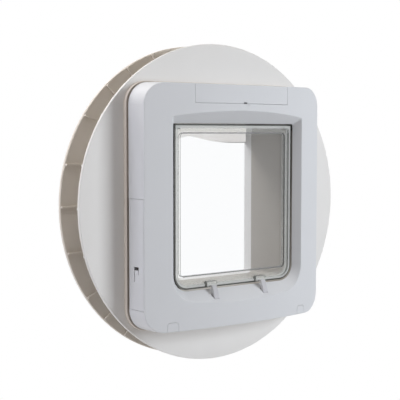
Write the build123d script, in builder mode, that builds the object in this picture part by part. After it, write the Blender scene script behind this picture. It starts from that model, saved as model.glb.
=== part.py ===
import os
from math import cos, hypot, radians, sin, sqrt, tan

from build123d import *

os.makedirs("parts", exist_ok=True)

# Pet flap for a door or pane, clamped between two discs. Millimetres and degrees.
# X is to the right seen from the room, Y goes outdoors and Z goes up.
# The origin is on the tunnel's axis, on the pane side of the inner disc.

# Opening, funnel and tunnel
mouth_width = 182.0
mouth_height = 196.0
mouth_set = 2.0
low_corner = 20.0
tunnel_corner = 5.0
high_corner = 2.0
funnel_angle = 38.0
funnel_wall = 2.6
lip_round = 1.0
tunnel_step = 1.0
tunnel_wall = 2.5
collar_width = 5.0
collar_thick = 2.5
sleeve_fit = 0.3

# Bezel: a moulded shell whose face is part of an upright cylinder
bezel_column = 41.0
bezel_header = 46.0
bezel_footer = 44.0
bezel_corner = 25.0
bezel_side = 30.4
bezel_draft = 2.5
bezel_wall = 2.8
bezel_edge_round = 1.2
crown_radius = 521.0
shadow_gap = 2.6

# Rear housing that carries the bezel on the inner disc
flange_thick = 5.0
flange_margin = 1.6
flange_round = 1.0
spigot_height = 11.0
spigot_wall = 2.2
spigot_fit = 0.25

# Clamping discs with ribs on the pane side, given by where each meets the edge and how it leans
pane_gap = 40.0
disc_margin = 9.7
disc_thick = 4.5
disc_edge_round = 1.2
rib_length = 40.0
rib_width = 2.0
rib_height = 2.8
ribs_above = [(14.7, 0), (33.5, 18), (47.5, 45), (58, 54), (70, 73)]
ribs_below = [(16.4, 0), (34.4, 26), (45.2, 37), (56, 50), (70, 73)]

# Outdoor frame
frame_thick = 15.0
frame_wall = 2.6
frame_round = 6.0
frame_mouth_round = 0.8
lintel_thick = 2.5
lintel_drop = 14.5
lintel_shoulder_drop = 24.0
lintel_half = 48.0
lintel_sweep = 240.0
lintel_tip_round = 25.0

# Clear flap and its hinge
flap_gap = 1.5
flap_thick = 9.0
flap_pane_thick = 3.0
hinge_top_gap = 0.5
rim_side = 9.8
rim_low = 15.5
rim_high = 6.3
window_corner = 5.0
bead_width = 4.6
bead_step = 1.6
bead_round = 1.8
lug_width = 16.0
lug_height = 7.0
lug_depth = 4.0
lug_rise = 1.2
lug_corner = 1.6
lug_round = 1.2
boss_gap = 0.4
boss_radius = 4.2
boss_length = 8.0
boss_round = 0.8
pin_radius = 2.0
pin_in_flap = 12.0
pin_fit = 0.05
pin_press_fit = 0.02
socket_radius = 4.2
socket_depth = 5.0
socket_floor = 1.5

# Lock: claws on a cross shaft under the tunnel
lock_back = 20.25
lock_drop = 13.0
shaft_radius = 2.5
shaft_half = 50.0
shaft_fit = 0.05
claw_x = 37.5
claw_width = 6.4
claw_radius = 33.0
claw_thick = 3.0
claw_overlap = 3.5
claw_tip_gap = 0.8
claw_tip_round = 0.6
claw_arm_half = 3.0
claw_hub_radius = 5.5
claw_slot_side = 0.8
claw_slot_gap = 0.6
bearing_x = 46.0
bearing_thick = 3.0
bearing_reach = 6.5
bearing_ring = 5.0
gearbox_half = 12.0
gearbox_reach = 10.0
gearbox_drop = 11.0
gearbox_corner = 2.0
collar_gap = 0.5
motor_radius = 8.0
motor_half = 21.0
motor_drop = 15.0

# Hatch over the controls
hatch_half = 70.0
hatch_height = 23.0
seam = 0.35
hinge_set = 4.0
barrel_radius = 2.0
barrel_pin_radius = 1.2
barrel_pin_length = 1.6
barrel_pin_fit = 0.08
notch_width = 5.5
notch_height = 1.4
scoop_radius = 60.0
scoop_depth = 0.7
scoop_rise = 3.0
well_wall = 2.0
well_depth = 12.5
panel_thick = 1.8
board_gap = 6.0
board_thick = 1.6
board_low_gap = 3.0
board_high_gap = 5.0
board_end_gap = 10.0
board_post_radius = 3.0
board_post_inset = 5.0
button_x = 22.0
button_radius = 3.2
button_guide_fit = 0.3
button_flange_radius = 4.6
button_flange_thick = 1.0
button_proud = 2.0
button_rest_gap = 0.3
button_tail = 1.4
switch_size = 6.0
switch_height = 2.2
light_x = -22.0
light_radius = 2.5
light_proud = 0.6

# Batteries: two C cells in each side
cell_radius = 13.0
cell_length = 48.5
cell_nub_radius = 2.8
cell_nub = 1.5
cell_edge_round = 0.8
cell_inset = 19.0
cell_rest = 4.5
bay_foot = 5.5
bay_head = 11.0
bay_end_wall = 2.0
bay_inner_gap = 1.5
cradle_thick = 2.0
cradle_fit = 0.3
contact_thick = 0.5
contact_half = 6.0
spring_room = 11.0
cover_corner_gap = 1.0
cover_lip = 1.6
cover_lip_inset = 1.2
cover_lip_wall = 1.4
catch_front = 12.0
catch_width = 7.6
catch_drop = 78.0
catch_height = 17.5
catch_window = 3.8
catch_slit = 1.0

# Screws and their covers
clamp_low_inset_x = 34.0
clamp_low_inset_z = 6.7
clamp_high_inset_x = 10.0
clamp_high_inset_z = 12.0
clamp_radius = 1.9
clamp_head_radius = 3.2
clamp_head = 2.4
clamp_fit = 0.1
clamp_boss_radius = 4.4
clamp_boss_height = 20.5
clamp_tip_gap = 2.0
drive_width = 0.9
drive_length = 3.8
drive_depth = 1.2
screw_cover_width = 13.5
screw_cover_height = 11.5
screw_cover_depth = 9.0
screw_cover_corner = 3.5
access_wall = 1.4
access_fit = 0.6
plug_gap = 0.2
bezel_screw_radius = 1.5
bezel_screw_head_radius = 2.8
bezel_screw_head = 2.0
bezel_screw_reach = 14.0
bezel_boss_radius = 4.0
bezel_boss_inset_x = 15.0
bezel_boss_inset_z = 19.0
bezel_boss_rise = 31.0
disc_screw_radius = 1.6
disc_screw_head_radius = 3.0
disc_screw_head = 1.8
disc_screw_reach = 3.6
disc_screw_inset_x = 14.0
disc_screw_z = 82.0
screw_fit = 0.1

# Reader coil and presence sensor on the tunnel
coil_set = 15.5
coil_depth = 10.0
coil_thick = 2.4
coil_fit = 0.2
sensor_set = 11.0
sensor_radius = 2.5
sensor_flange_radius = 3.8
sensor_flange = 2.0
sensor_fit = 0.1

# Planes and places that follow from the sizes above
bezel_width = mouth_width + 2 * bezel_column
bezel_height = mouth_height + bezel_header + bezel_footer
mouth_top = bezel_height / 2 - bezel_header
mouth_bottom = bezel_footer - bezel_height / 2
corner_reach = hypot(bezel_width / 2 - bezel_corner, bezel_height / 2 - bezel_corner) + bezel_corner
disc_radius = corner_reach + disc_margin
inner_front = -disc_thick
flange_front = inner_front - flange_thick
bezel_rear = flange_front - shadow_gap
bezel_edge = bezel_rear - bezel_side
draft_slope = tan(radians(bezel_draft))
crown_rise = crown_radius - sqrt(crown_radius**2 - (bezel_width / 2) ** 2)
crown_apex = bezel_edge - crown_rise
crown_axis = crown_apex + crown_radius
bezel_reach = bezel_side + crown_rise + 2 * bezel_wall
mouth_y = bezel_edge + mouth_set
funnel_offset = funnel_wall / cos(radians(funnel_angle))
funnel_reach = mouth_y - crown_apex + 2 * bezel_wall
funnel_spread = funnel_reach * tan(radians(funnel_angle))
tunnel_half = mouth_width / 2 + tunnel_step
tunnel_grow = tunnel_step + tunnel_wall
frame_front = pane_gap + disc_thick
frame_rear = frame_front + frame_thick
flap_front = mouth_y
flap_bottom = mouth_bottom + flap_gap
flap_half = mouth_width / 2 - flap_gap
hinge_y = flap_front + flap_thick / 2
hinge_z = mouth_top - hinge_top_gap - flap_thick / 2
window_top = hinge_z - rim_high
window_bottom = flap_bottom + rim_low
boss_end = tunnel_half - boss_gap
pin_end = tunnel_half + socket_depth - boss_gap
socket_end = tunnel_half + socket_depth + socket_floor
lock_y = mouth_y + lock_back
lock_z = mouth_bottom - lock_drop
claw_tip_y = flap_front - lug_depth - claw_tip_gap
claw_tip_z = flap_bottom + claw_overlap
claw_inner = claw_radius - claw_thick
slot_rear_y = lock_y - sqrt(claw_inner**2 - (mouth_bottom - lock_z) ** 2) + claw_slot_gap
slot_front_y = lock_y - claw_radius - claw_slot_gap
under_collar = mouth_bottom - tunnel_grow - collar_width - collar_gap
hatch_bottom = bezel_height / 2 - hatch_height
well_rear = crown_apex + well_depth
hatch_hinge_y = well_rear - hinge_set
hatch_hinge_z = bezel_height / 2 + (hatch_hinge_y - bezel_edge) * draft_slope - barrel_radius
well_top = hatch_hinge_z - barrel_radius
control_z = (hatch_bottom + well_top) / 2
panel_rear = well_rear + panel_thick
board_front = panel_rear + board_gap
board_rear = board_front + board_thick
board_low = mouth_top + tunnel_grow + coil_fit + coil_thick + board_low_gap
board_high = bezel_height / 2 - board_high_gap
clamp_low_x = bezel_width / 2 - clamp_low_inset_x
clamp_low_z = clamp_low_inset_z - bezel_height / 2
clamp_high_x = hatch_half - clamp_high_inset_x
clamp_high_z = bezel_height / 2 - clamp_high_inset_z
clamp_seat = flange_front - clamp_boss_height
board_half = clamp_high_x - board_end_gap
screw_cover_top = screw_cover_height - bezel_height / 2
plug_radius = screw_cover_top - clamp_low_z - plug_gap
cell_x = bezel_width / 2 - cell_inset
cell_y = flange_front - cell_rest - cell_radius
cover_bottom = bezel_corner + cover_corner_gap - bezel_height / 2
bay_bottom = cover_bottom + bay_foot
cell_pitch = cell_length + cell_nub
cell_top = bay_bottom + spring_room + 2 * cell_pitch
bay_top = cell_top + contact_thick
cover_top = bay_top + bay_head
bay_inner_x = cell_x - cell_radius + bay_inner_gap
bay_outer_x = cell_x + cell_radius
cover_front = bezel_edge + bezel_edge_round
cover_skin = bezel_width / 2 - bezel_wall
cover_inner = cover_skin - cover_lip - seam
cover_mid = ((cover_front + bezel_rear) / 2, (cover_top + cover_bottom) / 2)
cover_size = (bezel_rear - cover_front, cover_top - cover_bottom)
coil_front = mouth_y + coil_set
sensor_y = mouth_y + sensor_set
tunnel_roof = mouth_top + tunnel_step

clamp_low_points = [(side * clamp_low_x, clamp_low_z) for side in (-1, 1)]
clamp_points = clamp_low_points + [(side * clamp_high_x, clamp_high_z) for side in (-1, 1)]
boss_end_z = bezel_height / 2 - bezel_boss_inset_z
boss_heights = (-boss_end_z, cover_top + bezel_boss_rise, boss_end_z)
boss_x = bezel_width / 2 - bezel_boss_inset_x
bezel_screw_points = [(side * boss_x, z) for side in (-1, 1) for z in boss_heights]
disc_screw_x = bezel_width / 2 - disc_screw_inset_x
disc_screw_points = [(side * disc_screw_x, z) for side in (-1, 1) for z in (-disc_screw_z, disc_screw_z)]
board_post_x = board_half - board_post_inset
board_post_heights = (board_low + board_post_inset, board_high - board_post_inset)
board_points = [(side * board_post_x, z) for side in (-1, 1) for z in board_post_heights]


def at_depth(y):
    """Upright plane at depth y, seen from the room: X right, Z up, facing the room."""
    return Plane.XZ.offset(-y)


def across(x):
    """Upright plane at side x, whose own axes are Y and Z."""
    return Plane.YZ.offset(x)


def crown_at(x, inset=0.0):
    """Depth of the crowned face at side x, set in by a wall."""
    return crown_axis - sqrt((crown_radius - inset) ** 2 - x**2)


def rounded(y, width, height, corner):
    """Rounded rectangle about the axis at depth y."""
    with BuildSketch(at_depth(y)) as outline:
        RectangleRounded(width, height, corner)
    return outline.sketch


def bezel_outline(y, inset=0.0):
    """Bezel outline at depth y, with its draft, set in by a wall."""
    grow = (y - bezel_edge) * draft_slope - inset
    return rounded(y, bezel_width + 2 * grow, bezel_height + 2 * grow, bezel_corner + grow)


def opening_outline(y, grow=0.0, corner=low_corner):
    """Opening with tight upper and round lower corners, grown all round."""
    with BuildSketch(at_depth(y)) as outline:
        with Locations((0, (mouth_top + mouth_bottom) / 2)):
            Rectangle(mouth_width + 2 * grow, mouth_height + 2 * grow)
        fillet(outline.vertices().group_by(Axis.Y)[-1], high_corner)
        fillet(outline.vertices().group_by(Axis.Y)[0], corner + grow)
    return outline.sketch


def tunnel_outline(y, grow):
    """Outline of the tunnel behind the flap, grown all round."""
    return opening_outline(y, grow, tunnel_corner)


def funnel(grow=0.0):
    """Outlines of the funnel at the flap and in front of the face, grown all round."""
    return [opening_outline(mouth_y, grow), opening_outline(mouth_y - funnel_reach, funnel_spread + grow)]


def screw_cover_outline(y, x, grow=0.0):
    """Arched outline of a screw cover at depth y and side x, open below."""
    with BuildSketch(at_depth(y)) as outline:
        with Locations((x, screw_cover_top - seam + grow - bezel_height / 2)):
            Rectangle(screw_cover_width + 2 * grow, bezel_height)
        fillet(outline.vertices().group_by(Axis.Y)[-1], screw_cover_corner + grow)
    return outline.sketch


def circles(y, points, radius):
    """Circles of one radius at points on the plane at depth y."""
    with BuildSketch(at_depth(y)) as holes:
        with Locations(*points):
            Circle(radius)
    return holes.sketch


def rod(x, y, z, radius):
    """Circle on the plane at side x, about a point of Y and Z."""
    with BuildSketch(across(x)) as section:
        with Locations((y, z)):
            Circle(radius)
    return section.sketch


# Bezel shell without its openings: the lids in it are cut from the same form
with BuildPart() as bezel_hollow:
    extrude(bezel_outline(bezel_rear, bezel_wall), amount=bezel_reach, taper=bezel_draft)
    with Locations((0, crown_axis, 0)):
        Cylinder(crown_radius - bezel_wall, 2 * bezel_height, mode=Mode.INTERSECT)

with BuildPart() as bezel_shell:
    extrude(bezel_outline(bezel_rear), amount=bezel_reach, taper=bezel_draft)
    with Locations((0, crown_axis, 0)):
        Cylinder(crown_radius, 2 * bezel_height, mode=Mode.INTERSECT)
    crown_face = faces().filter_by(GeomType.CYLINDER).sort_by(SortBy.AREA)[-1]
    fillet(crown_face.edges(), bezel_edge_round)
    add(bezel_hollow.part, mode=Mode.SUBTRACT)

# Funnel, hatch well, bosses and screw tubes, trimmed to the back of the crowned face
with BuildPart() as bezel_core:
    loft(funnel(funnel_offset), ruled=True)
    with BuildSketch(at_depth(well_rear)):
        with Locations((0, (hatch_bottom - well_wall + bezel_height / 2) / 2)):
            Rectangle(2 * (hatch_half + well_wall), hatch_height + well_wall)
    extrude(amount=well_depth)
    extrude(circles(flange_front, bezel_screw_points, bezel_boss_radius), amount=flange_front - crown_apex)
    tube_rear = clamp_seat - clamp_head - access_fit
    tube_radius = clamp_head_radius + access_fit + access_wall
    extrude(circles(tube_rear, clamp_low_points, tube_radius), amount=tube_rear - crown_apex)
    with Locations((0, crown_axis, 0)):
        Cylinder(crown_radius - bezel_wall / 2, 2 * bezel_height, mode=Mode.INTERSECT)
    core_limit = bezel_outline(inner_front, bezel_wall / 2)
    extrude(core_limit, amount=inner_front - bezel_rear + bezel_reach, taper=bezel_draft, mode=Mode.INTERSECT)

screw_cover_rear = crown_at(clamp_low_x) + screw_cover_depth

with BuildPart() as front_bezel:
    add(bezel_shell.part)
    add(bezel_core.part)
    loft(funnel(), ruled=True, mode=Mode.SUBTRACT)
    crowned_face = faces().filter_by(GeomType.CYLINDER).sort_by(SortBy.AREA)[-1]
    fillet(crowned_face.inner_wires()[0].edges(), lip_round)
    # Hatch well, open through the face and the top, with holes for the hatch's pins
    with BuildSketch(at_depth(hatch_hinge_y + barrel_radius + seam)):
        with Locations((0, hatch_bottom + bezel_height / 2)):
            Rectangle(2 * hatch_half, bezel_height)
    extrude(amount=bezel_reach, mode=Mode.SUBTRACT)
    with BuildSketch(at_depth(well_rear)):
        with Locations((0, control_z)):
            Rectangle(2 * hatch_half, well_top - hatch_bottom)
    extrude(amount=well_depth, mode=Mode.SUBTRACT)
    pin_hole_half = hatch_half + barrel_pin_length
    extrude(rod(-pin_hole_half, hatch_hinge_y, hatch_hinge_z, barrel_pin_radius + barrel_pin_fit),
            amount=2 * pin_hole_half, mode=Mode.SUBTRACT)
    # Finger scoop under the hatch
    with Locations((0, crown_apex + scoop_depth - scoop_radius, hatch_bottom + scoop_rise)):
        Sphere(scoop_radius, mode=Mode.SUBTRACT)
    # Side cut-outs for the battery covers
    for side in (-1, 1):
        with BuildSketch(across(side * cover_inner)):
            with Locations(((cover_front + flange_front) / 2, cover_mid[1])):
                Rectangle(flange_front - cover_front, cover_size[1])
        extrude(amount=side * bezel_column, mode=Mode.SUBTRACT)
    # Notches and bores over the lower clamp screws
    for x, z in clamp_low_points:
        extrude(screw_cover_outline(screw_cover_rear, x, seam), amount=bezel_reach, mode=Mode.SUBTRACT)
    extrude(circles(tube_rear, clamp_low_points, clamp_head_radius + access_fit),
            amount=tube_rear - screw_cover_rear, mode=Mode.SUBTRACT)
    # Slots in the sill for the claws
    with BuildSketch(Plane.XY.offset(mouth_bottom)):
        slot_mid_y = (slot_rear_y + slot_front_y) / 2
        with Locations((-claw_x, slot_mid_y), (claw_x, slot_mid_y)):
            Rectangle(claw_width + 2 * claw_slot_side, slot_rear_y - slot_front_y)
    extrude(amount=-lock_drop - funnel_offset, mode=Mode.SUBTRACT)
    # Pilot holes for the screws that hold the housing
    extrude(circles(flange_front, bezel_screw_points, bezel_screw_radius + screw_fit),
            amount=bezel_screw_reach, mode=Mode.SUBTRACT)
front_bezel.part.label = "front_bezel"
export_step(front_bezel.part, "parts/front_bezel.step")

# Hatch: a lid that wraps over the bezel's top edge, on a barrel hinge
with BuildPart() as hatch:
    add(bezel_shell.part)
    with BuildSketch(at_depth(hatch_hinge_y)):
        with Locations((0, hatch_bottom + seam + bezel_height / 2)):
            Rectangle(2 * (hatch_half - seam), bezel_height)
    extrude(amount=bezel_reach, mode=Mode.INTERSECT)
    barrel_half = hatch_half - seam
    extrude(rod(-barrel_half, hatch_hinge_y, hatch_hinge_z, barrel_radius), amount=2 * barrel_half)
    barrel_pin_half = barrel_half + barrel_pin_length
    extrude(rod(-barrel_pin_half, hatch_hinge_y, hatch_hinge_z, barrel_pin_radius),
            amount=2 * barrel_pin_half)
    with BuildSketch(at_depth(crown_apex + bezel_wall + seam)):
        with Locations((0, hatch_bottom)):
            SlotOverall(notch_width, 2 * (notch_height + seam))
    extrude(amount=2 * bezel_wall, mode=Mode.SUBTRACT)
hatch.part.label = "hatch"
export_step(hatch.part, "parts/hatch.step")

for side, word in ((-1, "left"), (1, "right")):
    with BuildPart() as battery_cover:
        add(bezel_shell.part)
        with BuildSketch(across(side * cover_inner)):
            with Locations(cover_mid):
                Rectangle(cover_size[0] - 2 * seam, cover_size[1] - 2 * seam)
        extrude(amount=side * bezel_column, mode=Mode.INTERSECT)
        # Nesting lip on the inside
        lip_inset = seam + cover_lip_inset
        lip_inner = lip_inset + cover_lip_wall
        with BuildSketch(across(side * (cover_skin - cover_lip))):
            with Locations(cover_mid):
                Rectangle(cover_size[0] - 2 * lip_inset, cover_size[1] - 2 * lip_inset)
                Rectangle(cover_size[0] - 2 * lip_inner, cover_size[1] - 2 * lip_inner, mode=Mode.SUBTRACT)
        extrude(amount=side * (cover_lip + bezel_wall / 2))
        # Spring catch: a tongue between two slits, under a window
        catch_y = bezel_edge + catch_front
        catch_z = cover_top - catch_drop
        with BuildSketch(across(side * cover_inner)):
            with Locations((catch_y + catch_width / 2, catch_z - catch_window / 2)):
                Rectangle(catch_width + catch_slit, catch_window)
            with Locations((catch_y + catch_width, catch_z - catch_height / 2)):
                Rectangle(catch_slit, catch_height)
            with Locations((catch_y, catch_z - catch_height / 4)):
                Rectangle(catch_slit, catch_height / 2)
        extrude(amount=side * bezel_column, mode=Mode.SUBTRACT)
    battery_cover.part.label = f"battery_cover_{word}"
    export_step(battery_cover.part, f"parts/battery_cover_{word}.step")

    with BuildPart() as screw_cover:
        add(bezel_shell.part)
        cover_shape = screw_cover_outline(screw_cover_rear - seam, side * clamp_low_x)
        extrude(cover_shape, amount=bezel_reach, mode=Mode.INTERSECT)
        with BuildSketch(at_depth(screw_cover_rear)):
            with Locations((side * clamp_low_x, clamp_low_z)):
                Circle(plug_radius)
                Circle(plug_radius - access_wall, mode=Mode.SUBTRACT)
        extrude(amount=screw_cover_rear - crown_at(clamp_low_x, bezel_wall / 2))
    screw_cover.part.label = f"screw_cover_{word}"
    export_step(screw_cover.part, f"parts/screw_cover_{word}.step")

# Rear housing: flange, spigot, bosses, battery bays and lock bearings
with BuildPart() as rear_housing:
    flange_grow = 2 * ((bezel_rear - bezel_edge) * draft_slope + flange_margin)
    extrude(rounded(inner_front, bezel_width + flange_grow, bezel_height + flange_grow,
                    bezel_corner + flange_grow / 2), amount=flange_thick)
    fillet(faces().sort_by(Axis.Y)[0].edges(), flange_round)
    with BuildSketch(at_depth(flange_front)):
        spigot_grow = 2 * ((flange_front - bezel_edge) * draft_slope - bezel_wall - spigot_fit)
        RectangleRounded(bezel_width + spigot_grow, bezel_height + spigot_grow,
                         bezel_corner + spigot_grow / 2)
        offset(amount=-spigot_wall, mode=Mode.SUBTRACT)
        with Locations((0, cover_mid[1])):
            Rectangle(2 * bezel_width, cover_size[1] + 2 * spigot_wall, mode=Mode.SUBTRACT)
    extrude(amount=spigot_height, taper=bezel_draft)
    # Battery bays: end walls and cradle ribs
    bay_mid_x = (bay_inner_x + bay_outer_x) / 2
    bay_width = bay_outer_x - bay_inner_x
    end_wall_heights = (bay_top + bay_end_wall / 2, bay_bottom - bay_end_wall / 2)
    cradle_heights = [cell_top - cell_pitch * quarter / 4 for quarter in (1, 3, 5, 7)]
    with BuildSketch(at_depth(flange_front)):
        with Locations(*[(side * bay_mid_x, z) for side in (-1, 1) for z in end_wall_heights]):
            Rectangle(bay_width, bay_end_wall)
    extrude(amount=cell_rest + 2 * cell_radius - bay_end_wall)
    with BuildSketch(at_depth(flange_front)):
        with Locations(*[(side * bay_mid_x, z) for side in (-1, 1) for z in cradle_heights]):
            Rectangle(bay_width, cradle_thick)
    extrude(amount=cell_rest + cell_radius)
    with BuildSketch(Plane.XY.offset(bay_bottom)):
        with Locations((-cell_x, cell_y), (cell_x, cell_y)):
            Circle(cell_radius + cradle_fit)
    extrude(amount=bay_top - bay_bottom, mode=Mode.SUBTRACT)
    # Bosses for the clamp screws, posts for the circuit board and bearings for the lock shaft
    extrude(circles(flange_front, clamp_points, clamp_boss_radius), amount=clamp_boss_height)
    extrude(circles(flange_front, board_points, board_post_radius), amount=flange_front - board_rear)
    bearing_front = lock_y - bearing_reach
    for x in (-bearing_x, bearing_x):
        with BuildSketch(across(x - bearing_thick / 2)):
            with Locations(((flange_front + bearing_front) / 2, (under_collar + lock_z - bearing_reach) / 2)):
                Rectangle(flange_front - bearing_front, under_collar - lock_z + bearing_reach)
            with Locations((lock_y, lock_z)):
                Circle(bearing_ring)
                Circle(shaft_radius + shaft_fit, mode=Mode.SUBTRACT)
        extrude(amount=bearing_thick)
    # Openings through the flange
    extrude(tunnel_outline(inner_front, tunnel_grow + sleeve_fit), amount=flange_thick, mode=Mode.SUBTRACT)
    extrude(circles(inner_front, clamp_points, clamp_radius + clamp_fit),
            amount=inner_front - clamp_seat, mode=Mode.SUBTRACT)
    extrude(circles(inner_front, bezel_screw_points, bezel_screw_radius + screw_fit),
            amount=flange_thick, mode=Mode.SUBTRACT)
    extrude(circles(inner_front, bezel_screw_points, bezel_screw_head_radius + screw_fit),
            amount=bezel_screw_head, mode=Mode.SUBTRACT)
    extrude(circles(inner_front, disc_screw_points, disc_screw_radius + screw_fit),
            amount=disc_screw_reach + screw_fit, mode=Mode.SUBTRACT)
rear_housing.part.label = "rear_housing"
export_step(rear_housing.part, "parts/rear_housing.step")

# Tunnel: a sleeve with a collar on the housing and sockets for the flap's hinge
with BuildPart() as tunnel:
    extrude(tunnel_outline(frame_front, tunnel_grow), amount=frame_front - mouth_y)
    extrude(tunnel_outline(flange_front, tunnel_grow + collar_width), amount=collar_thick)
    extrude(rod(-socket_end, hinge_y, hinge_z, socket_radius), amount=2 * socket_end)
    extrude(opening_outline(frame_front, tunnel_step), amount=frame_front - mouth_y, mode=Mode.SUBTRACT)
    seat_rear = flap_front + flap_thick + flap_gap
    extrude(tunnel_outline(frame_front, tunnel_step), amount=frame_front - seat_rear, mode=Mode.SUBTRACT)
    bore_half = pin_end + pin_fit
    extrude(rod(-bore_half, hinge_y, hinge_z, pin_radius + pin_fit), amount=2 * bore_half, mode=Mode.SUBTRACT)
    with BuildSketch(Plane.XY.offset(mouth_top)):
        with Locations((0, sensor_y)):
            Circle(sensor_radius + sensor_fit)
    extrude(amount=2 * tunnel_grow, mode=Mode.SUBTRACT)
tunnel.part.label = "tunnel"
export_step(tunnel.part, "parts/tunnel.step")


def disc_ribs(face_y, rise):
    """Raised ribs on a disc's pane side: level beside the opening, fanned at the corners."""
    places = [(turn, turn) for turn in (0, 90, 180, 270)]
    for edge, lean in ribs_above:
        places += [(edge, lean), (180 - edge, 180 - lean)]
    for edge, lean in ribs_below:
        places += [(-edge, -lean), (180 + edge, 180 + lean)]
    reach = disc_radius - disc_edge_round
    with BuildSketch(at_depth(face_y)) as plan:
        for edge, lean in places:
            mid_x = reach * cos(radians(edge)) - rib_length / 2 * cos(radians(lean))
            mid_z = reach * sin(radians(edge)) - rib_length / 2 * sin(radians(lean))
            with Locations(Location((mid_x, mid_z), lean)):
                Rectangle(rib_length, rib_width)
        Circle(reach, mode=Mode.INTERSECT)
    return extrude(plan.sketch, amount=rise)


# Discs: plates with ribs on the pane side and holes for the screws
for word, rear, rib_face, rib_rise, sink in (
    ("inner", 0.0, 0.0, -rib_height, disc_screw_head),
    ("outer", frame_front, pane_gap, rib_height, -disc_screw_head),
):
    with BuildPart() as disc:
        extrude(circles(rear, [(0, 0)], disc_radius), amount=disc_thick)
        fillet(edges().filter_by(GeomType.CIRCLE), disc_edge_round)
        add(disc_ribs(rib_face, rib_rise))
        extrude(tunnel_outline(rear, tunnel_grow + sleeve_fit), amount=disc_thick, mode=Mode.SUBTRACT)
        extrude(circles(rear, clamp_points, clamp_radius + clamp_fit), amount=disc_thick, mode=Mode.SUBTRACT)
        extrude(circles(rear, disc_screw_points, disc_screw_radius + screw_fit), amount=disc_thick,
                mode=Mode.SUBTRACT)
        extrude(circles(rib_face, disc_screw_points, disc_screw_head_radius + screw_fit), amount=sink,
                mode=Mode.SUBTRACT)
    disc.part.label = f"{word}_disc"
    export_step(disc.part, f"parts/{word}_disc.step")

# Outdoor frame: a shell on the outer disc, with a sleeve in line with the tunnel and a lintel at its mouth
with BuildPart() as frame_block:
    extrude(rounded(frame_rear, bezel_width, bezel_height, bezel_corner), amount=frame_thick)
    fillet(faces().sort_by(Axis.Y)[-1].edges(), frame_round)

with BuildPart() as frame_hollow:
    extrude(rounded(frame_rear - frame_wall, bezel_width - 2 * frame_wall, bezel_height - 2 * frame_wall,
                    bezel_corner - frame_wall), amount=frame_thick)
    fillet(faces().sort_by(Axis.Y)[-1].edges(), frame_round - frame_wall)

with BuildPart() as frame_core:
    extrude(tunnel_outline(frame_rear, tunnel_grow), amount=frame_thick)
    extrude(circles(frame_rear, clamp_points, clamp_boss_radius), amount=frame_thick)
    extrude(circles(frame_rear, disc_screw_points, bezel_boss_radius), amount=frame_thick)
    add(frame_block.part, mode=Mode.INTERSECT)

with BuildPart() as outer_frame:
    add(frame_block.part)
    add(frame_hollow.part, mode=Mode.SUBTRACT)
    add(frame_core.part)
    extrude(tunnel_outline(frame_rear, tunnel_step), amount=frame_thick, mode=Mode.SUBTRACT)
    fillet(faces().sort_by(Axis.Y)[-1].inner_wires()[0].edges(), frame_mouth_round)
    # Lintel: a thin plate that hangs in the mouth, raised to a blunt peak
    with BuildSketch(at_depth(frame_rear - frame_mouth_round)):
        shoulder_z = mouth_top - lintel_shoulder_drop
        lintel_head = tunnel_roof + tunnel_wall / 2
        lintel_end = tunnel_half + tunnel_wall / 2
        with BuildLine():
            FilletPolyline(
                (-lintel_end, shoulder_z),
                (-lintel_half, shoulder_z),
                (0, mouth_top - lintel_drop),
                (lintel_half, shoulder_z),
                (lintel_end, shoulder_z),
                radius=[lintel_sweep, lintel_tip_round, lintel_sweep],
            )
            Polyline((lintel_end, shoulder_z), (lintel_end, lintel_head), (-lintel_end, lintel_head),
                     (-lintel_end, shoulder_z))
        make_face()
    extrude(amount=lintel_thick)
    extrude(circles(frame_rear - clamp_tip_gap + clamp_fit, clamp_points, clamp_radius + clamp_fit),
            amount=frame_thick, mode=Mode.SUBTRACT)
    disc_screw_hole = disc_screw_reach + screw_fit
    extrude(circles(frame_front + disc_screw_hole, disc_screw_points, disc_screw_radius + screw_fit),
            amount=disc_screw_hole, mode=Mode.SUBTRACT)
outer_frame.part.label = "outer_frame"
export_step(outer_frame.part, "parts/outer_frame.step")

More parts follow.
